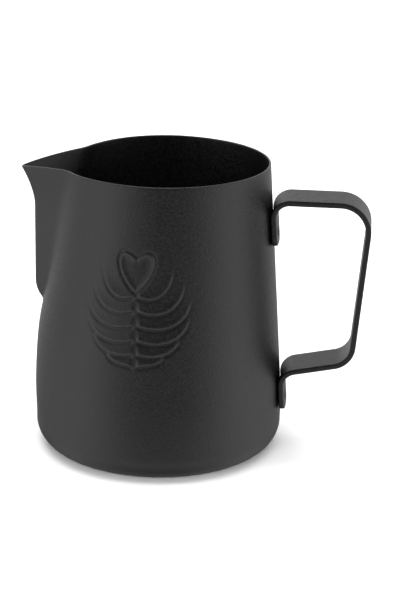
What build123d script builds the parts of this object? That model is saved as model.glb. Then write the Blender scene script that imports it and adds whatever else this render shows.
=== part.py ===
from build123d import *
from math import asin, cos, radians, sin, sqrt
import os

# A 600 ml milk frothing pitcher, in millimetres: a drawn steel body with a pressed spout,
# and a bent strap handle that two pairs of spot welds hold on it.
# +Z is up, and the origin is on the body's axis at the plane that it stands on.
# The spout points to -X and the handle to +X.

# Body
body_height = 110.0
rim_radius = 40.5
belly_radius = 46.95
belly_height = 21.0
base_corner_radius = 9.5
wall = 0.8

# Stamped centre of the base, which leaves a flat ring to stand on
recess_height = 1.2
recess_radius = 30.0
recess_slope_width = 2.0
recess_corner_radius = 1.5
recess_shift = 0.28

# Spout: two flat sides that meet in an upright keel and flare out to the tip
keel_radius = 47.6
keel_foot_height = 62.0
keel_foot_drop = 8.0
keel_foot_depth = 5.0
keel_rounding = 1.5
flare_start_height = 90.0
flare_rate = 0.0217
crease_foot_height = 56.5
crease_foot_angle = 5.5
crease_rim_angle = 30.4
side_overlap = 3.0
spout_section_heights = range(52, 113, 10)

# Dent: pressing the spout pulls the wall in on both sides of it
dent_foot_height = 50.0
dent_depth_at_rim = 4.5
dent_half_angle = 95.0
dent_fade_power = 1.3
dent_rise_power = 1.8
wall_section_heights = range(0, 113, 16)
front_half_angle = 100
front_angle_step = 20

# Rim: it dips towards the tip of the spout
tip_radius = 52.2
tip_dip = 4.1
dip_power = 2.6
dip_step = 12
trim_reach = 60

# Handle strap: its outer line runs over the arms and down the grip
strap_width = 18.0
strap_thickness = 2.0
arm_top_height = 98.65
grip_reach = 79.35
grip_slope = 0.085
lower_arm_height = 32.2
lower_arm_slope = 0.208
upper_grip_corner_radius = 11.5
lower_grip_corner_radius = 9.3

# Flanges: the strap's ends, bent down against the wall and curved more gently than it
seating_gap = 0.01
flange_bend_radius = 6.7
flange_reach = 8.5
arm_root_reach = 6.8
flange_axis_x = -43.0
upper_flange_foot = 80.6
lower_flange_foot = 16.5
flange_corner_radius = 3.5

# Spot welds, a pair on each flange
weld_radius = 1.7
weld_offset = 4.5
weld_dimple_depth = 0.3
weld_heights = {"upper": 85.7, "lower": 21.6}
weld_sides = {"left": -1, "right": 1}

cone_slope = (belly_radius - rim_radius) / (body_height - belly_height)
level_wall = wall * sqrt(1 + cone_slope**2)


def cone_radius(height):
    """Outer radius of the plain wall."""
    return rim_radius + cone_slope * (body_height - height)


def dented_radius(angle, height):
    """Outer radius of the wall, at an angle in degrees from the spout."""
    share = min(max(height - dent_foot_height, 0) / (body_height - dent_foot_height), 1)
    depth = dent_depth_at_rim * (1 - (1 - share) ** dent_rise_power)
    fade = cos(radians(90 * min(abs(angle) / dent_half_angle, 1)))
    return cone_radius(height) - depth * max(fade, 0) ** dent_fade_power


def at_angle(radius, angle):
    """The point at a radius and at an angle in degrees from the spout."""
    return Vector(-radius * cos(radians(angle)), radius * sin(radians(angle)))


def spout_corners(height, inset):
    """The spout's three corners: the tip, and the ends of its two sides inside the wall."""
    share = (height - crease_foot_height) / (body_height - crease_foot_height)
    crease_angle = crease_foot_angle + (crease_rim_angle - crease_foot_angle) * share
    tip = Vector(-keel_radius - flare_rate * max(height - flare_start_height, 0) ** 2, 0)
    crease = at_angle(dented_radius(crease_angle, height), crease_angle)
    along = (crease - tip).normalized()
    inward = Vector(along.Y, -along.X)
    end = crease + along * side_overlap + inward * inset
    return [(end.X, -end.Y), tip + Vector(inset / along.Y, 0), (end.X, end.Y)]


def make_wall(inset):
    """The wall as a solid, dented beside the spout and moved in by inset."""
    end = radians(front_half_angle)
    end_tangents = [(-sin(end), cos(end)), (sin(end), cos(end))]
    angles = range(-front_half_angle, front_half_angle + 1, front_angle_step)
    with BuildPart() as wall_solid:
        for height in wall_section_heights:
            with BuildSketch(Plane.XY.offset(height)):
                with BuildLine():
                    points = [at_angle(dented_radius(angle, height) - inset, angle) for angle in angles]
                    front = Spline(*points, tangents=end_tangents)
                    ThreePointArc(front @ 1, (cone_radius(height) - inset, 0), front @ 0)
                make_face()
        loft()
        with BuildSketch(Plane.XZ):
            with BuildLine():
                turned = FilletPolyline(
                    (0, recess_height + inset),
                    (recess_radius + recess_shift * inset, recess_height + inset),
                    (recess_radius + recess_slope_width + recess_shift * inset, inset),
                    (belly_radius - inset, inset),
                    (belly_radius - inset, 2 * body_height),
                    radius=[recess_corner_radius, recess_corner_radius, base_corner_radius - inset],
                )
                Polyline(turned @ 1, (0, 2 * body_height), turned @ 0)
            make_face()
        revolve(axis=Axis.Z, mode=Mode.INTERSECT)
    return wall_solid.part


def make_spout(inset):
    """The spout as a solid, moved in by inset, with its foot rounded off."""
    keel = keel_radius - inset
    foot_bottom = keel_foot_height - keel_foot_drop
    with BuildPart() as spout_solid:
        for height in spout_section_heights:
            with BuildSketch(Plane.XY.offset(height)) as section:
                with BuildLine():
                    Polyline(*spout_corners(height, inset), close=True)
                make_face()
                fillet(section.vertices().sort_by(Axis.X)[0], keel_rounding - inset)
        loft()
        with BuildSketch(Plane.XZ):
            with BuildLine():
                foot = EllipticalCenterArc(
                    (keel_foot_depth - keel, keel_foot_height),
                    keel_foot_depth,
                    keel_foot_drop,
                    start_angle=180,
                    arc_size=90,
                )
                Polyline(
                    foot @ 1,
                    (0, foot_bottom),
                    (0, 0),
                    (-2 * keel, 0),
                    (-2 * keel, keel_foot_height),
                    foot @ 0,
                )
            make_face()
        extrude(amount=keel, both=True, mode=Mode.SUBTRACT)
    return spout_solid.part


def rim_height(reach):
    """Height of the rim at a distance from the axis towards the spout's tip."""
    return body_height - tip_dip * (reach / tip_radius) ** dip_power


def rim_fall(reach):
    """How fast the rim falls there."""
    return tip_dip * dip_power / tip_radius * (reach / tip_radius) ** (dip_power - 1)


# The body: base and lower wall turned about the axis, then the dented wall and the spout
outer_wall = make_wall(0)
inner_wall = make_wall(level_wall)
outer_spout = make_spout(0)
inner_spout = make_spout(level_wall)

with BuildPart() as pitcher_body:
    add(outer_wall)
    add(outer_spout)
    add(inner_wall, mode=Mode.SUBTRACT)
    add(inner_spout, mode=Mode.SUBTRACT)
    with BuildSketch(Plane.XZ):
        with BuildLine():
            points = [(-reach, rim_height(reach)) for reach in range(0, trim_reach + 1, dip_step)]
            dip = Spline(*points, tangents=[(-1, 0), (-1, -rim_fall(trim_reach))])
            Polyline(
                dip @ 1,
                (-trim_reach, 2 * body_height),
                (trim_reach, 2 * body_height),
                (trim_reach, body_height),
                dip @ 0,
            )
        make_face()
    extrude(amount=trim_reach, both=True, mode=Mode.SUBTRACT)

pitcher_body.part.label = "pitcher_body"


# The handle: two arms and a grip, bent from one strap
def make_flange(foot_height, arm_height, arm_slope):
    """An end of the strap, bent down against the wall, with the root of its arm."""
    foot_radius = cone_radius(foot_height) + seating_gap
    level_radius = cone_radius(arm_height - arm_slope * belly_radius) + seating_gap
    bend_radius = level_radius / (1 + cone_slope * arm_slope)
    bend_height = arm_height + arm_slope * (bend_radius - belly_radius)
    reach_height = bend_height + arm_slope * flange_reach
    with BuildPart() as flange:
        with BuildSketch(Plane.XZ):
            with BuildLine():
                FilletPolyline(
                    (foot_radius, foot_height),
                    (bend_radius, bend_height),
                    (bend_radius + flange_reach, reach_height),
                    radius=flange_bend_radius,
                )
                offset(amount=strap_thickness, side=Side.RIGHT)
            make_face()
        revolve(axis=Axis((flange_axis_x, 0, 0), (0, 0, 1)))
        with BuildSketch(Plane.YZ):
            with Locations((0, foot_height + body_height / 2)):
                RectangleRounded(strap_width, body_height, flange_corner_radius)
        extrude(amount=2 * body_height, mode=Mode.INTERSECT)
    return flange.part


def underside_height(x):
    """Height of the lower arm's underside."""
    thickness = strap_thickness * sqrt(1 + lower_arm_slope**2)
    return lower_arm_height + lower_arm_slope * (x - belly_radius) - thickness


upper_root = cone_radius(arm_top_height) + arm_root_reach
lower_root = cone_radius(lower_arm_height) + arm_root_reach
grip_foot_reach = grip_reach - grip_slope * arm_top_height
grip_foot_height = underside_height(grip_foot_reach) / (1 - grip_slope * lower_arm_slope)
grip_foot = (grip_foot_reach + grip_slope * grip_foot_height, grip_foot_height)


def weld_seat(height, side):
    """The plane of a spot weld, against the wall with its normal outwards."""
    radius = cone_radius(height)
    turn = asin(side * weld_offset / radius)
    outward = Vector(cos(turn), sin(turn), cone_slope)
    return Plane(origin=(radius * cos(turn), radius * sin(turn), height), z_dir=outward)


weld_seats = {
    f"{level}_spot_weld_{side}": weld_seat(height, sign)
    for level, height in weld_heights.items()
    for side, sign in weld_sides.items()
}
upper_flange = make_flange(upper_flange_foot, arm_top_height, 0)
lower_flange = make_flange(lower_flange_foot, lower_arm_height, lower_arm_slope)

with BuildPart() as handle_strap:
    with BuildSketch(Plane.XZ):
        with BuildLine():
            FilletPolyline(
                (upper_root, arm_top_height),
                (grip_reach, arm_top_height),
                grip_foot,
                (lower_root, underside_height(lower_root)),
                radius=[upper_grip_corner_radius, lower_grip_corner_radius],
            )
            offset(amount=strap_thickness, side=Side.RIGHT)
        make_face()
    extrude(amount=strap_width / 2, both=True)
    add(upper_flange)
    add(lower_flange)
    for seat in weld_seats.values():
        with BuildSketch(seat):
            Circle(weld_radius)
        extrude(amount=2 * strap_thickness, both=True, mode=Mode.SUBTRACT)

handle_strap.part.label = "handle_strap"

# The spot welds: each fills its hole in the flange, up to the dimple that the electrode left
spot_welds = []
for name, seat in weld_seats.items():
    with BuildPart() as spot_weld:
        with BuildSketch(seat):
            Circle(weld_radius)
        extrude(amount=strap_thickness - weld_dimple_depth)
    spot_weld.part.label = name
    spot_welds.append(spot_weld.part)

os.makedirs("parts", exist_ok=True)
for piece in (pitcher_body.part, handle_strap.part, *spot_welds):
    export_step(piece, f"parts/{piece.label}.step")
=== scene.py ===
"""A black-coated milk frothing pitcher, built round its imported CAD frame. Metres, +Z up.

The spout points to -X, the handle to +X, and the pressed pattern faces -Y.
"""

import math

import bmesh
import bpy
import numpy as np
from mathutils import Matrix, Vector


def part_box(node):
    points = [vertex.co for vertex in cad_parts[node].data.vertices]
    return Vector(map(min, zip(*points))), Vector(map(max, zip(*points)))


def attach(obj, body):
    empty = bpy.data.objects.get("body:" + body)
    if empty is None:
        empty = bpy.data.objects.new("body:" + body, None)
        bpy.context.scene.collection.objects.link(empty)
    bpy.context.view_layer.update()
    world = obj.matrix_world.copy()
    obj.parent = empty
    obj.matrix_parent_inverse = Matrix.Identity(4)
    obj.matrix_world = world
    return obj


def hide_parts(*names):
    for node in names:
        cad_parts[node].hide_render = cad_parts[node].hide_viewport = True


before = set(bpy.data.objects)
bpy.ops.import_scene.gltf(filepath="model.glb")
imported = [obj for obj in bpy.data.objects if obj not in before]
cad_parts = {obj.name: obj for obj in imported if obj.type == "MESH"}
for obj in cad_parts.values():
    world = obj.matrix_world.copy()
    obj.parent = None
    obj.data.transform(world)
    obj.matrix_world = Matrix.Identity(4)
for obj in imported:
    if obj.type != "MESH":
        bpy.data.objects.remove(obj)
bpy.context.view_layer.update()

MM = 0.001

# ---------------------------------------------------------------- sizes, in millimetres
BODY_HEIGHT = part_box("pitcher_body")[1].z / MM
BELLY_RADIUS = 46.94
RIM_RADIUS = 40.5
BELLY_HEIGHT = 21.0
BELLY_BLEND = 8.0
BASE_CORNER = 9.5
WALL = 0.8
# How far the rim's rounded top is paled: partly wear, partly a painted highlight where the edge
# catches the light
RIM_WEAR_AND_HIGHLIGHT = 0.9
CONE_SLOPE = (BELLY_RADIUS - RIM_RADIUS) / (BODY_HEIGHT - BELLY_HEIGHT)

# Stamped centre of the base: radii of the flat part's rows, then (radius, height) down its slope
RECESS_HEIGHT = 1.2
RECESS_ROWS = (0.5, 10.0, 20.0, 28.8)
RECESS_SLOPE = ((29.7, 1.15), (30.4, 0.95), (31.4, 0.3), (32.1, 0.06), (32.9, 0.0))
RING_WIDTH = 1.5

# Dent that pressing the spout leaves on both sides of it
DENT_FOOT = 50.0
DENT_DEPTH = 4.5
DENT_ANGLE = math.radians(95)
DENT_FADE_POWER = 1.3
DENT_RISE_POWER = 1.8
DENT_ONSET = 0.08

# The wall swells a little below the spout and is tucked in above the base corner
SWELL = 0.66
SWELL_HEIGHT = 40.0
SWELL_SPREAD = 17.0
TUCK = 0.45
TUCK_HEIGHT = 11.0
TUCK_SPREAD = 9.0

# Spout: an upright keel that flares out at the tip, and the creases where its sides start
KEEL_RADIUS = 47.35
KEEL_FOOT_HEIGHT = 62.0
KEEL_FOOT_DROP = 8.0
KEEL_FOOT_DEPTH = 5.0
KEEL_SOFTNESS = 0.03
FLARE_START = 91.0
FLARE_RATE = 0.052
FLARE_POWER = 1.7
# Each crease runs between two points, given as (height, angle from the spout)
CREASE_FOOT = (56.5, math.radians(5.5))
CREASE_RIM = (BODY_HEIGHT, math.radians(30.4))
CREASE_SPREAD = math.radians(15)
LEAST_SLOPE = 0.5
CREASE_ROUND_LOW = 1.0
CREASE_ROUND_HIGH = 1.5

# Rim
TIP_RADIUS = 52.2
TIP_DIP = 4.35
DIP_POWER = 3.1
DIP_PASSES = 8

# Strap: its outer line runs over the arms and down the grip
STRAP_WIDTH = 18.0
STRAP_THICKNESS = 2.0
STRAP_EDGE = 0.55
ARM_TOP = 98.65
GRIP_REACH = 79.35
GRIP_SLOPE = 0.085
LOWER_ARM_TOP = 32.2
LOWER_ARM_SLOPE = 0.208
UPPER_GRIP_CORNER = 11.5
LOWER_GRIP_CORNER = 9.3
FLANGE_BEND = 6.7
FLANGE_AXIS = -43.0
FLANGE_CORNER = 3.5
FLANGE_FEET = {"upper": 80.6, "lower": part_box("handle_strap")[0].z / MM}
HUG_FADE = 14.0

# Spot welds, a pair on each flange, and (radius, height) over a weld's button from its middle
WELD_HEIGHTS = {"upper": 85.7, "lower": 21.6}
WELD_SIDES = {"left": -1, "right": 1}
WELD_OFFSET = 4.5
WELD_RADIUS = 1.75
WELD_SINK = 0.5
WELD_SOFTNESS = 0.6
WELD_PROFILE = (
    (0.05, 0.02),
    (0.5, 0.03),
    (0.85, 0.08),
    (1.1, 0.15),
    (1.3, 0.14),
    (1.42, 0.05),
    (1.45, -0.15),
)


def smooth_step(x):
    """0 below 0, 1 above 1, and a smooth climb between."""
    x = np.clip(x, 0, 1)
    return x * x * (3 - 2 * x)


def smooth_max(a, b, width):
    """The larger of two, with the corner between them rounded over width."""
    near = np.maximum(width - np.abs(a - b), 0) / width
    return np.maximum(a, b) + near * near * width / 4


# ---------------------------------------------------------------- the body's outside
def cone_radius(z):
    """Radius of the plain wall, which turns upright below the belly."""
    cone = RIM_RADIUS + CONE_SLOPE * (BODY_HEIGHT - z)
    return -smooth_max(-cone, -BELLY_RADIUS + 0 * z, CONE_SLOPE * BELLY_BLEND)


def wall_radius(angle, z):
    """The wall with its dent. Angles are from the spout."""
    share = (z - DENT_FOOT) / (BODY_HEIGHT - DENT_FOOT)
    share = np.clip((share + np.sqrt(share**2 + DENT_ONSET**2)) / 2, 0, 1)
    depth = DENT_DEPTH * (1 - (1 - share) ** DENT_RISE_POWER)
    fade = np.clip(np.cos(np.pi / 2 * np.clip(np.abs(angle) / DENT_ANGLE, 0, 1)), 0, 1)
    swell = SWELL * np.exp(-(((z - SWELL_HEIGHT) / SWELL_SPREAD) ** 2))
    swell = swell - TUCK * np.exp(-(((z - TUCK_HEIGHT) / TUCK_SPREAD) ** 2))
    return cone_radius(z) - depth * fade**DENT_FADE_POWER + swell * fade**2


def keel_line(z):
    """How far the keel stands from the axis."""
    flare = FLARE_RATE * np.clip(z - FLARE_START, 0, None) ** FLARE_POWER
    drop = np.clip((KEEL_FOOT_HEIGHT - z) / KEEL_FOOT_DROP, 0, 1)
    return KEEL_RADIUS + flare - KEEL_FOOT_DEPTH * (1 - np.sqrt(1 - drop**2))


def soft_sine(angle):
    """The size of the sine, rounded where it passes 0, which rounds the keel."""
    return np.sqrt(np.sin(angle) ** 2 + KEEL_SOFTNESS**2) - KEEL_SOFTNESS


def outer_radius(angle, z):
    """Distance of the outside from the axis: the wall, or the spout where it stands out."""
    wall = wall_radius(angle, z)
    share = np.clip((z - CREASE_FOOT[0]) / (CREASE_RIM[0] - CREASE_FOOT[0]), 0, None)
    crease = CREASE_FOOT[1] + (CREASE_RIM[1] - CREASE_FOOT[1]) * share
    keel = keel_line(z)
    slope = (keel / wall_radius(crease, z) - np.cos(crease)) / soft_sine(crease)
    side = keel / (np.cos(angle) + soft_sine(angle) * np.maximum(slope, LEAST_SLOPE))
    rounding = CREASE_ROUND_LOW + (CREASE_ROUND_HIGH - CREASE_ROUND_LOW) * np.clip(share, 0, 1)
    in_spout = (np.abs(angle) < crease + CREASE_SPREAD) & (z > KEEL_FOOT_HEIGHT - KEEL_FOOT_DROP)
    return np.where(in_spout, smooth_max(wall, np.where(in_spout, side, 0), rounding), wall)


def rim_height(angle):
    """Height of the rim, which dips towards the tip."""
    z = np.full_like(angle, BODY_HEIGHT)
    for _ in range(DIP_PASSES):
        reach = np.clip(outer_radius(angle, z) * np.cos(angle), 0, None)
        z = BODY_HEIGHT - TIP_DIP * (reach / TIP_RADIUS) ** DIP_POWER
    return z


def spaced(start, stop, step):
    """Evenly spaced values from start up to, but not at, stop."""
    count = max(int(round((stop - start) / step)), 1)
    return list(np.linspace(start, stop, count, endpoint=False))


# ---------------------------------------------------------------- the pressed pattern
# A rosetta, the leaf that a barista pours: nested leaves about a stem, under a heart.
PATTERN_ANGLE = math.radians(85.2)
PATTERN_HEIGHT = 65.6
PATTERN_HALF_WIDTH = 20.2
PATTERN_HALF_HEIGHT = 24.5
PATTERN_MARGIN = 3.0
# A stroke's relief, and the width and place of its edge, groove and paler crest across it; the
# crest's paler tone is partly rubbed wear and partly a painted highlight
RELIEF = 0.6
CRISP = 0.45
GROOVE_DEPTH = 0.55
GROOVE_PLACE = 0.6
GROOVE_WIDTH = 0.55
RUB_AND_HIGHLIGHT = 0.2
RUB_AND_HIGHLIGHT_PLACE = 0.35
RUB_AND_HIGHLIGHT_WIDTH = 0.35
# Leaves, from the lowest: how far each reaches and how much it sags between stem and tip
LEAF_SPACING = 5.4
LEAF_FADE = 4.6
LEAF_TAPER = 0.5
LEAF_REACH = (10.5, 16.0, 19.2, 19.8, 17.5, 13.5)
LEAF_SAG = (-2.6, 2.0, 3.8, 3.8, 3.8, 3.8)
LEAF_BELLY = 0.5
LEAF_BULGE = 1.02
LEAF_FOOT = -22.0
LEAF_RISE = 0.9
LEAF_SHOULDER = 1.2
LEAF_TIP_RISE = 9.0
STEM_HALF_WIDTH = 1.0
STEM_GROOVE = 0.25
STEM_SLOPE = 1.3
# Heart: the corners of its right half's Bezier curve, and how it fades inwards
HEART_CORNERS = ((0.0, 6.5), (9.5, 14.5), (7.5, 25.5), (0.0, 18.3))
HEART_FADE = 2.8
HEART_TAPER = 0.01


def curve_points(corners, count=36):
    """Points along the Bezier curve with these four corners."""
    t = np.linspace(0, 1, count)[:, None]
    a, b, c, d = (np.array(p, float) for p in corners)
    return a * (1 - t) ** 3 + 3 * b * t * (1 - t) ** 2 + 3 * c * t**2 * (1 - t) + d * t**3


def path_distance(u, v, path):
    """Distance to a path, above 0 on its left, and the share of the way along it."""
    best = np.full(u.shape, np.inf)
    along = np.zeros(u.shape)
    for i in range(len(path) - 1):
        a, step = path[i], path[i + 1] - path[i]
        t = np.clip(((u - a[0]) * step[0] + (v - a[1]) * step[1]) / (step @ step), 0, 1)
        du, dv = u - a[0] - t * step[0], v - a[1] - t * step[1]
        d = np.hypot(du, dv)
        sign = np.where(step[0] * dv - step[1] * du >= 0, 1.0, -1.0)
        closer = d < np.abs(best)
        best = np.where(closer, d * sign, best)
        along = np.where(closer, (i + t) / (len(path) - 1), along)
    return best, along


def pressed_edge(u, v, path, fade, taper):
    """A stroke's ridge, groove and paler crest, which is partly rubbed wear and partly a painted
    highlight.
    The ridge has a crisp edge along the path and a long fade on its left, and the groove runs
    along the edge's other side. All die out towards the path's end."""
    d, along = path_distance(u, v, path)
    tip = smooth_step((1 - along) / taper)
    ridge = smooth_step(d / CRISP + 0.5) * np.clip(1 - np.clip(d, 0, None) / fade, 0, 1) ** 2
    groove = GROOVE_DEPTH * np.exp(-(((d + GROOVE_PLACE) / GROOVE_WIDTH) ** 2))
    # Paler crest: partly rubbed wear, partly a painted highlight along the pattern's lines
    rub_and_highlight = RUB_AND_HIGHLIGHT * np.exp(-(((d - RUB_AND_HIGHLIGHT_PLACE) / RUB_AND_HIGHLIGHT_WIDTH) ** 2))
    return np.array([ridge, groove, rub_and_highlight]) * tip


def relief(u, v):
    """Height of the pattern above the wall, in millimetres, and how far its crests are paled by wear
    and a painted highlight.
    """
    side = np.abs(u)
    strokes = []
    for i, (reach, sag) in enumerate(zip(LEAF_REACH, LEAF_SAG)):
        root = LEAF_FOOT + LEAF_SPACING * i
        corners = [
            (-STEM_HALF_WIDTH, root + LEAF_RISE),
            (reach * LEAF_BELLY, root - sag),
            (reach * LEAF_BULGE, root + LEAF_SHOULDER),
            (reach, root + LEAF_TIP_RISE + LEAF_RISE * i),
        ]
        strokes.append(pressed_edge(side, v, curve_points(corners), LEAF_FADE, LEAF_TAPER))
    stem = smooth_step((side - STEM_GROOVE) / STEM_SLOPE)
    leaves = np.max(strokes, axis=0) * stem
    heart = pressed_edge(side, v, curve_points(HEART_CORNERS), HEART_FADE, HEART_TAPER)
    ridge, groove, rub_and_highlight = np.maximum(leaves, heart)
    return RELIEF * (ridge - groove), rub_and_highlight


def pattern_relief(angle, z):
    """Relief of the pattern on the wall, and the wear and painted highlight on its crests. Angles are
    from the spout, towards -Y.
    """
    u = (angle - PATTERN_ANGLE) * cone_radius(np.array(PATTERN_HEIGHT))
    v = z - PATTERN_HEIGHT
    near = np.abs(u) < PATTERN_HALF_WIDTH + PATTERN_MARGIN
    near &= np.abs(v) < PATTERN_HALF_HEIGHT + PATTERN_MARGIN
    height, rub_and_highlight = np.zeros(u.shape), np.zeros(u.shape)
    height[near], rub_and_highlight[near] = relief(u[near], v[near])
    return height, rub_and_highlight


# ---------------------------------------------------------------- mesh making
# The body's rows are close together between these heights, where the pattern is, and the inside
# has one row for every few of the outside there
FINE_LOW = 38
FINE_HIGH = 92
INSIDE_SHARE = 4

# Steps round the base corner, the rim and a weld, in degrees
CORNER_STEP = 7.5
RIM_STEP = 22.5
WELD_STEP = 10


def grid_mesh(name, rows, wear_and_highlight=0.0):
    """A mesh from a grid of points, rows x columns x 3 in millimetres, whose columns close up.
    Wear, from 0 to 1, is how far the coating is paled at each point, by wear and by a painted
    highlight."""
    n_rows, n_columns = rows.shape[:2]
    i = np.arange(n_rows - 1)[:, None]
    j = np.arange(n_columns)[None, :]
    k = (j + 1) % n_columns
    corners = [i * n_columns + j, i * n_columns + k, (i + 1) * n_columns + k, (i + 1) * n_columns + j]
    quads = np.stack([corner.ravel() for corner in corners], axis=1)
    mesh = bpy.data.meshes.new(name)
    mesh.from_pydata((rows.reshape(-1, 3) * MM).tolist(), [], quads.tolist())
    mesh.polygons.foreach_set("use_smooth", [True] * len(mesh.polygons))
    layer = mesh.attributes.new("wear_and_highlight", "FLOAT", "POINT")
    wear_and_highlight = np.broadcast_to(wear_and_highlight, (n_rows, n_columns)).astype(np.float32)
    layer.data.foreach_set("value", wear_and_highlight.ravel())
    piece = bpy.data.objects.new(name, mesh)
    bpy.context.collection.objects.link(piece)
    return piece


def close_ends(piece, columns):
    """Fills the first and the last row of a piece made by grid_mesh."""
    bm = bmesh.new()
    bm.from_mesh(piece.data)
    bm.verts.ensure_lookup_table()
    first = [bm.verts[i] for i in range(columns)][::-1]
    last = [bm.verts[len(bm.verts) - columns + i] for i in range(columns)]
    for ring in (first, last):
        bm.faces.new(ring).smooth = True
    bm.to_mesh(piece.data)
    bm.free()


def grid_normals(rows):
    """Unit normals of a grid whose columns close up."""
    wrapped = np.concatenate([rows[:, -1:], rows, rows[:, :1]], axis=1)
    around = (wrapped[:, 2:] - wrapped[:, :-2]) / 2
    up = np.gradient(rows, axis=0)
    normal = np.cross(around, up)
    return normal / np.linalg.norm(normal, axis=2, keepdims=True)


def stretches(*steps):
    """Evenly spaced values along each stretch, given as (start, stop, step)."""
    return [value for start, stop, step in steps for value in spaced(start, stop, step)]


def body_columns():
    """Angles of the columns from the spout: close together at the keel, creases and pattern."""
    near_side = stretches((0, 4, 0.4), (4, 45, 1.0), (45, 57, 2.0), (57, 113, 0.4), (113, 180, 2.4))
    far_side = stretches((0.4, 4, 0.4), (4, 45, 1.0), (45, 180, 2.4))
    return np.radians(sorted(near_side + [180.0] + [-a for a in far_side]))


def circle_row(angle, radius, z):
    """A row of points at a height, whose radius is one number or one for each angle."""
    radius = radius + 0 * angle
    return np.stack([-radius * np.cos(angle), -radius * np.sin(angle), z + 0 * angle], axis=1)


def corner_rows(angle, centre, radius, turns):
    """Rows round the base corner, whose arc has its centre at BASE_CORNER above the floor."""
    return [
        circle_row(angle, centre + radius * math.cos(a), BASE_CORNER + radius * math.sin(a))
        for a in turns
    ]


def make_body():
    """The drawn shell: underside, base corner, wall with spout and pattern, rim and inside."""
    angle = body_columns()
    top = rim_height(angle) - WALL / 2
    heights = stretches((BASE_CORNER, FINE_LOW, 2.0), (FINE_LOW, FINE_HIGH, 0.4))
    heights += stretches((FINE_HIGH, BODY_HEIGHT, 0.9)) + [BODY_HEIGHT]
    share = (np.array(heights) - BASE_CORNER) / (BODY_HEIGHT - BASE_CORNER)
    z = BASE_CORNER + share[:, None] * (top - BASE_CORNER)[None, :]
    angles = np.broadcast_to(angle, z.shape)
    radius = outer_radius(angles, z)
    plain = np.stack([-radius * np.cos(angles), -radius * np.sin(angles), z], axis=2)
    normal = grid_normals(plain)
    height, rub_and_highlight = pattern_relief(angles, z)
    outside = plain + normal * height[..., None]

    corner = [math.radians(a) for a in spaced(-90, 0, CORNER_STEP)]
    corner_centre = radius[0] - BASE_CORNER
    base = [circle_row(angle, r, RECESS_HEIGHT) for r in RECESS_ROWS]
    base += [circle_row(angle, r, h) for r, h in RECESS_SLOPE]
    base += [circle_row(angle, BELLY_RADIUS - BASE_CORNER - RING_WIDTH, 0)]
    base += corner_rows(angle, corner_centre, BASE_CORNER, corner)

    up = outside[-1] - outside[-2]
    up /= np.linalg.norm(up, axis=1, keepdims=True)
    turns = np.radians(spaced(0, 180, RIM_STEP)[1:])
    across = [normal[-1] * (math.cos(turn) - 1) * WALL / 2 for turn in turns]
    along = [up * math.sin(turn) * WALL / 2 for turn in turns]
    rim = [outside[-1] + a + b for a, b in zip(across, along)]

    kept = [i for i, h in enumerate(heights) if not FINE_LOW < h < FINE_HIGH or i % INSIDE_SHARE == 0]
    inside = (outside - normal * WALL)[kept][::-1]
    floor = corner_rows(angle, corner_centre, BASE_CORNER - WALL, corner[::-1])
    floor += [circle_row(angle, r, h + WALL) for r, h in reversed(RECESS_SLOPE)]
    floor += [circle_row(angle, r, RECESS_HEIGHT + WALL) for r in reversed(RECESS_ROWS)]
    rows = np.array(base + list(outside) + rim + list(inside) + floor)

    wear_and_highlight = np.zeros(rows.shape[:2])
    first = len(base) + len(outside)
    # The pattern's crests get wear and a painted highlight
    wear_and_highlight[len(base) : first] = rub_and_highlight
    # The rim's top is paled: partly wear, partly a painted highlight
    wear_and_highlight[first : first + len(rim)] = RIM_WEAR_AND_HIGHLIGHT * np.sin(turns)[:, None] ** 3
    body = grid_mesh("coated_pitcher_body", rows, wear_and_highlight=wear_and_highlight)
    close_ends(body, len(angle))
    return body


# ---------------------------------------------------------------- the handle
# Steps along the flanges, arms and grip, and the turn of a step round a bend
STRAP_STEPS = (0.35, 1.0, 2.5, 1.0, 0.35)
BEND_STEP = math.radians(4.5)
# Points across each face of the strap, and how near to a face a point counts as on it
FACE_POINTS = 47
FACE_TOLERANCE = 1e-6


def meet(a, a_direction, b, b_direction):
    """Where two lines in the XZ plane cross."""
    across = a_direction[0] * b_direction[1] - a_direction[1] * b_direction[0]
    gap = b - a
    share = (gap[0] * b_direction[1] - gap[1] * b_direction[0]) / across
    return a + share * a_direction


def leftward(direction):
    """The direction a quarter turn to the left."""
    return np.array([-direction[1], direction[0]])


def bent_path(corners, radii, steps):
    """Points and directions along straight runs, with a step for each run, joined by arcs."""
    points, directions = [], []
    runs = [b - a for a, b in zip(corners[:-1], corners[1:])]
    runs = [run / np.linalg.norm(run) for run in runs]
    start = corners[0]
    for i, radius in enumerate(radii):
        along, after = runs[i], runs[i + 1]
        turn = math.atan2(along[0] * after[1] - along[1] * after[0], along @ after)
        stop = corners[i + 1] - along * radius * math.tan(abs(turn) / 2)
        for s in spaced(0, np.linalg.norm(stop - start), steps[i]):
            points.append(start + along * s)
            directions.append(along)
        side = math.copysign(1, turn)
        centre = stop + side * radius * leftward(along)
        for a in spaced(0, turn, side * BEND_STEP):
            heading = math.atan2(along[1], along[0]) + a
            direction = np.array([math.cos(heading), math.sin(heading)])
            points.append(centre - side * radius * leftward(direction))
            directions.append(direction)
        start = centre - side * radius * leftward(after)
    for s in spaced(0, np.linalg.norm(corners[-1] - start), steps[-1]):
        points.append(start + runs[-1] * s)
        directions.append(runs[-1])
    return np.array(points + [corners[-1]]), np.array(directions + [runs[-1]])


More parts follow.
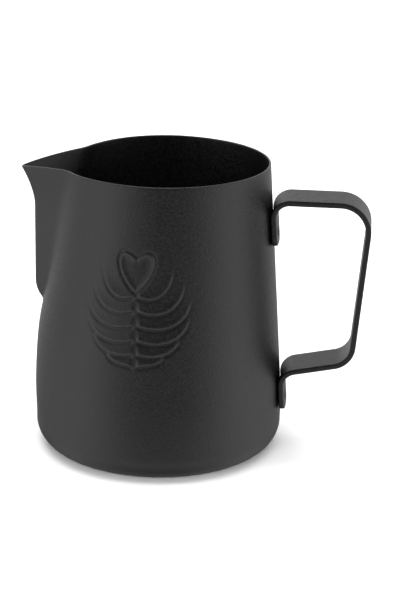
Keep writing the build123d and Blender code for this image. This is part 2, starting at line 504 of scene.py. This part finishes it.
def strap_path():
    """The middle line of the strap in the XZ plane, from the upper flange to the lower one."""
    half = STRAP_THICKNESS / 2
    wall_direction = np.array([-CONE_SLOPE, 1.0])
    wall_point = np.array([RIM_RADIUS + half * math.hypot(1, CONE_SLOPE), BODY_HEIGHT])
    level = np.array([1.0, 0.0])
    arm_point = np.array([0.0, ARM_TOP - half])
    grip_direction = np.array([GRIP_SLOPE, 1.0])
    grip_point = np.array([GRIP_REACH - half * math.hypot(1, GRIP_SLOPE), ARM_TOP])
    lower_direction = np.array([1.0, LOWER_ARM_SLOPE])
    lower_point = np.array([BELLY_RADIUS, LOWER_ARM_TOP - half * math.hypot(1, LOWER_ARM_SLOPE)])
    corners = [
        meet(wall_point, wall_direction, np.array([0.0, FLANGE_FEET["upper"]]), level),
        meet(wall_point, wall_direction, arm_point, level),
        meet(arm_point, level, grip_point, grip_direction),
        meet(grip_point, grip_direction, lower_point, lower_direction),
        meet(lower_point, lower_direction, wall_point, wall_direction),
        meet(wall_point, wall_direction, np.array([0.0, FLANGE_FEET["lower"]]), level),
    ]
    outer_radii = (FLANGE_BEND, UPPER_GRIP_CORNER, LOWER_GRIP_CORNER, FLANGE_BEND)
    return bent_path(corners, [radius - half for radius in outer_radii], STRAP_STEPS)


def section_loop():
    """The strap's section as (share of the half width, inset, offset), all round."""
    half = STRAP_THICKNESS / 2
    loop = [(share, STRAP_EDGE * share, half) for share in np.linspace(-1, 1, FACE_POINTS)]
    quarter = [math.radians(a) for a in (0, 22.5, 45, 67.5, 90)]
    for a in quarter[1:]:
        loop.append((1, STRAP_EDGE * (1 - math.sin(a)), half - STRAP_EDGE * (1 - math.cos(a))))
    for a in quarter[:-1]:
        loop.append((1, STRAP_EDGE * (1 - math.cos(a)), -half + STRAP_EDGE * (1 - math.sin(a))))
    back = [(-share, -inset, -height) for share, inset, height in loop]
    return np.array(loop + back)


def make_handle():
    """The strap: flanges curved to the wall, dimples for the welds, and rounded edges."""
    points, directions = strap_path()
    gaps = np.linalg.norm(np.diff(points, axis=0), axis=1)
    s = np.concatenate([[0], np.cumsum(gaps)])[:, None]
    from_end = np.minimum(s, s[-1] - s)
    share, inset, offset = section_loop().T

    # The flanges' rounded corners and the rounded edge across each end
    into_corner = np.clip(FLANGE_CORNER - from_end, 0, FLANGE_CORNER)
    half_width = STRAP_WIDTH / 2 - FLANGE_CORNER + np.sqrt(FLANGE_CORNER**2 - into_corner**2)
    into_edge = np.clip(STRAP_EDGE - from_end, 0, STRAP_EDGE)
    thin = STRAP_EDGE - np.sqrt(STRAP_EDGE**2 - into_edge**2)
    y = share * half_width - inset
    height = offset - np.sign(offset) * np.minimum(thin, np.abs(offset))

    # The weld dimples, in the face of each flange that looks away from the wall
    upper = (np.arange(len(s)) < len(s) // 2)[:, None]
    upper_length = ARM_TOP - FLANGE_FEET["upper"]
    lower_length = LOWER_ARM_TOP - FLANGE_FEET["lower"]
    flange_length = np.where(upper, upper_length, lower_length)
    outer_side = np.where(upper, -1, 1)
    on_face = offset * outer_side > STRAP_THICKNESS / 2 - FACE_TOLERANCE
    on_face = on_face & (from_end < flange_length)
    for level, weld_height in WELD_HEIGHTS.items():
        at_level = on_face & (upper if level == "upper" else ~upper)
        dz = points[:, 1, None] - weld_height
        for sign in WELD_SIDES.values():
            distance = np.hypot(dz, y - sign * WELD_OFFSET)
            out = smooth_step((distance - WELD_RADIUS) / WELD_SOFTNESS + 0.5)
            height = np.where(at_level, height - outer_side * WELD_SINK * (1 - out), height)

    # The flanges hug the wall, and the curve fades out along the arms
    x = points[:, 0, None] - height * directions[:, 1, None]
    z = points[:, 1, None] + height * directions[:, 0, None]
    hug = 1 - smooth_step((from_end - flange_length + FLANGE_BEND) / HUG_FADE)
    reach = x - FLANGE_AXIS
    x = x + hug * (np.sqrt(reach**2 - y**2) - reach)
    rows = np.stack([x, y, z], axis=2)

    handle = grid_mesh("coated_handle", rows[:, ::-1])
    close_ends(handle, rows.shape[1])
    return handle


# ---------------------------------------------------------------- the spot welds
def make_weld(level, side):
    """The button of a spot weld, in its dimple: a dished disc with a soft raised ring."""
    height = WELD_HEIGHTS[level]
    radius = RIM_RADIUS + CONE_SLOPE * (BODY_HEIGHT - height)
    turn = math.asin(WELD_SIDES[side] * WELD_OFFSET / radius)
    outward = Vector((math.cos(turn), math.sin(turn), CONE_SLOPE)).normalized()
    seat = Vector((radius * math.cos(turn), radius * math.sin(turn), height))
    seat += outward * (STRAP_THICKNESS - WELD_SINK)
    around = np.radians(spaced(0, 360, WELD_STEP))
    frame_of_seat = Matrix.Translation(seat) @ outward.to_track_quat("Z", "Y").to_matrix().to_4x4()
    rows = [
        [tuple(frame_of_seat @ Vector((r * math.cos(a), r * math.sin(a), h))) for a in around]
        for r, h in reversed(WELD_PROFILE)
    ]
    weld = grid_mesh(f"coated_{level}_weld_{side}", np.array(rows))
    close_ends(weld, len(around))
    return weld


# ---------------------------------------------------------------- materials
# Noise scales are in features to a metre, and the grain's relief is in metres
GRAIN_SCALE = 1200.0
GRAIN_CONTRAST = 2.4
GRAIN_RELIEF = 0.00014
DRIFT_SCALE = 45.0
WEAR_AND_HIGHLIGHT_SCALE = 900.0
MOTTLE_SCALE = 3.0
# Paler colour for worn coating, also the colour of the painted highlights on the rim and the
# pattern's crests
WORN_AND_HIGHLIGHT_COLOUR = (0.065, 0.065, 0.066, 1)
COATING_SHADE = 0.002
WELD_SHADE = 0.0015

# The colour sockets of a Mix node
MIX_A = 6
MIX_B = 7
MIX_RESULT = 2


def add_node(tree, kind, **settings):
    """A shader node. A setting that isn't the node's own is one of its inputs."""
    node = tree.nodes.new("ShaderNode" + kind)
    for name, value in settings.items():
        if hasattr(node, name):
            setattr(node, name, value)
        else:
            node.inputs[name.replace("_", " ")].default_value = value
    return node


def ramp(tree, source, stops):
    """A colour ramp from a value, with stops of (place, grey)."""
    node = tree.nodes.new("ShaderNodeValToRGB")
    while len(node.color_ramp.elements) < len(stops):
        node.color_ramp.elements.new(0.5)
    for element, (place, grey) in zip(node.color_ramp.elements, stops):
        element.position = place
        element.color = (grey, grey, grey, 1)
    tree.links.new(source, node.inputs["Fac"])
    return node.outputs["Color"]


def noise(tree, scale, detail=2.0, roughness=0.5):
    """Noise in object space."""
    place = tree.nodes.new("ShaderNodeTexCoord")
    node = add_node(tree, "TexNoise", Scale=scale, Detail=detail, Roughness=roughness)
    tree.links.new(place.outputs["Object"], node.inputs["Vector"])
    return node.outputs["Fac"]


def mix(tree, blend_type, a, b):
    """Two colours blended in full."""
    node = add_node(tree, "Mix", data_type="RGBA", blend_type=blend_type, Factor=1.0)
    tree.links.new(a, node.inputs[MIX_A])
    tree.links.new(b, node.inputs[MIX_B])
    return node.outputs[MIX_RESULT]


def coated_steel(name, shade):
    """Matt black baked coating: fine grain, a faint drift in tone, and paler where it is worn and
    where a highlight is painted on the rim and the pattern's crests.
    """
    material = bpy.data.materials.new(name)
    material.use_nodes = True
    tree = material.node_tree
    links = tree.links
    shader = tree.nodes["Principled BSDF"]
    shader.inputs["Metallic"].default_value = 0.0
    shader.inputs["Specular IOR Level"].default_value = 0.5
    grain = noise(tree, GRAIN_SCALE, detail=4.0, roughness=0.7)
    drift = noise(tree, DRIFT_SCALE, detail=4.0, roughness=0.55)

    grain_tone = ramp(tree, grain, [(0.35, 0.0), (0.65, shade * GRAIN_CONTRAST)])
    tone = mix(tree, "MULTIPLY", grain_tone, ramp(tree, drift, [(0.3, 0.8), (0.7, 1.0)]))
    # The wear attribute pales the coating where it is worn and where a highlight is painted on
    wear_and_highlight = add_node(tree, "Attribute", attribute_name="wear_and_highlight")
    broken = add_node(tree, "Math", operation="MULTIPLY")
    links.new(wear_and_highlight.outputs["Fac"], broken.inputs[0])
    links.new(ramp(tree, noise(tree, WEAR_AND_HIGHLIGHT_SCALE), [(0.35, 0.6), (0.65, 1.0)]), broken.inputs[1])
    wear_and_highlight_mix = add_node(tree, "Mix", data_type="RGBA", blend_type="MIX")
    links.new(broken.outputs[0], wear_and_highlight_mix.inputs["Factor"])
    links.new(tone, wear_and_highlight_mix.inputs[MIX_A])
    wear_and_highlight_mix.inputs[MIX_B].default_value = WORN_AND_HIGHLIGHT_COLOUR
    links.new(wear_and_highlight_mix.outputs[MIX_RESULT], shader.inputs["Base Color"])

    links.new(ramp(tree, grain, [(0.3, 0.32), (0.7, 0.48)]), shader.inputs["Roughness"])
    bump = add_node(tree, "Bump", Strength=1.0, Distance=GRAIN_RELIEF)
    links.new(grain, bump.inputs["Height"])
    links.new(bump.outputs["Normal"], shader.inputs["Normal"])
    return material


def pale_floor(name):
    """A plain pale surface with the faintest mottle."""
    material = bpy.data.materials.new(name)
    material.use_nodes = True
    tree = material.node_tree
    shader = tree.nodes["Principled BSDF"]
    mottle = ramp(tree, noise(tree, MOTTLE_SCALE), [(0.2, 0.93), (0.8, 0.95)])
    tree.links.new(mottle, shader.inputs["Base Color"])
    shader.inputs["Roughness"].default_value = 0.9
    shader.inputs["Specular IOR Level"].default_value = 0.1
    return material


# ---------------------------------------------------------------- the object
body = make_body()
handle = make_handle()
body.data.materials.append(coated_steel("coated_body", COATING_SHADE))
handle.data.materials.append(coated_steel("coated_strap", COATING_SHADE))
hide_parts("pitcher_body")
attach(body, "root")
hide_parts("handle_strap")
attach(handle, "root")

weld_material = coated_steel("coated_weld", WELD_SHADE)
for level in WELD_HEIGHTS:
    for side in WELD_SIDES:
        weld = make_weld(level, side)
        weld.data.materials.append(weld_material)
        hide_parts(f"{level}_spot_weld_{side}")
        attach(weld, "root")

# ---------------------------------------------------------------- the stage
FLOOR_SIZE = 8.0
bpy.ops.mesh.primitive_plane_add(size=FLOOR_SIZE, location=(0, 0, 0))
floor = bpy.context.object
floor.name = "floor"
floor.data.materials.append(pale_floor("pale_floor"))
floor.visible_glossy = False

scene = bpy.context.scene
scene.view_settings.view_transform = "Standard"
scene.view_settings.look = "None"
scene.view_settings.exposure = 0.0

# A white studio, darker overhead and behind the camera. The greys go from behind the object to
# the camera's side (ROOM, GLOW_SPREAD) and from straight down to straight up (FALLOFF, FLOOR_GLOW).
WORLD_STRENGTH = 2.0
ROOM = [(0.0, 0.52), (0.14, 0.37), (0.42, 0.38), (0.58, 0.84), (0.74, 0.84), (0.925, 0.075)]
FALLOFF = [(0.0, 0.0), (0.28, 0.2), (0.41, 1.0), (0.68, 1.0), (0.8, 0.25), (0.93, 0.12)]
FLOOR_GLOW = [(0.0, 0.1), (0.16, 0.48), (0.36, 0.25), (0.45, 0.0)]
GLOW_SPREAD = [(0.12, 0.0), (0.35, 1.0)]
world = bpy.data.worlds.new("studio")
scene.world = world
world.use_nodes = True
tree = world.node_tree
place = tree.nodes.new("ShaderNodeTexCoord")


def toward(direction):
    """How far each part of the world lies towards a direction, from 0 to 1."""
    facing = add_node(tree, "VectorMath", operation="DOT_PRODUCT")
    facing.inputs[1].default_value = direction
    tree.links.new(place.outputs["Generated"], facing.inputs[0])
    share = add_node(tree, "Math", operation="MULTIPLY_ADD")
    share.inputs[1].default_value = 0.5
    share.inputs[2].default_value = 0.5
    tree.links.new(facing.outputs["Value"], share.inputs[0])
    return share.outputs[0]


front = toward((0.17, -0.985, 0.0))
up = toward((0.0, 0.0, 1.0))
walls = mix(tree, "MULTIPLY", ramp(tree, front, ROOM), ramp(tree, up, FALLOFF))
bounce = mix(tree, "MULTIPLY", ramp(tree, up, FLOOR_GLOW), ramp(tree, front, GLOW_SPREAD))
background = tree.nodes["Background"]
tree.links.new(mix(tree, "ADD", walls, bounce), background.inputs["Color"])
background.inputs["Strength"].default_value = WORLD_STRENGTH


LIGHT_SIZE = 3.0


def soft_light(name, place, energy):
    """A wide soft light aimed at the object. It whitens the floor and isn't seen in the coating."""
    light_data = bpy.data.lights.new(name, "AREA")
    light_data.shape = "SQUARE"
    light_data.size = LIGHT_SIZE
    light_data.energy = energy
    light = bpy.data.objects.new(name, light_data)
    bpy.context.collection.objects.link(light)
    light.location = place
    light.rotation_euler = Vector(place).to_track_quat("Z", "Y").to_euler()
    light.visible_glossy = False


soft_light("overhead", (0.0, 0.3, 2.5), 110.0)
soft_light("front_fill", (0.2, -3.0, 0.9), 130.0)

# ---------------------------------------------------------------- the camera
VIEW_AZIMUTH = math.radians(5.0)
VIEW_ELEVATION = math.radians(18.52)
VIEW_DISTANCE = 0.680
VIEW_TARGET = Vector((0.01554, 0.0, 0.05604))
VIEW_ROLL = math.radians(1.17)
LENS = 107.97
SENSOR = 36.0

camera_data = bpy.data.cameras.new("camera")
camera_data.lens = LENS
camera_data.sensor_width = SENSOR
camera = bpy.data.objects.new("camera", camera_data)
bpy.context.collection.objects.link(camera)
back = Vector(
    (
        math.sin(VIEW_AZIMUTH) * math.cos(VIEW_ELEVATION),
        -math.cos(VIEW_AZIMUTH) * math.cos(VIEW_ELEVATION),
        math.sin(VIEW_ELEVATION),
    )
)
level_right = Vector((math.cos(VIEW_AZIMUTH), math.sin(VIEW_AZIMUTH), 0))
level_up = back.cross(level_right)
right = math.cos(VIEW_ROLL) * level_right + math.sin(VIEW_ROLL) * level_up
above = math.cos(VIEW_ROLL) * level_up - math.sin(VIEW_ROLL) * level_right
turn = Matrix((right, above, back)).transposed().to_4x4()
camera.matrix_world = Matrix.Translation(VIEW_TARGET + back * VIEW_DISTANCE) @ turn
scene.camera = camera
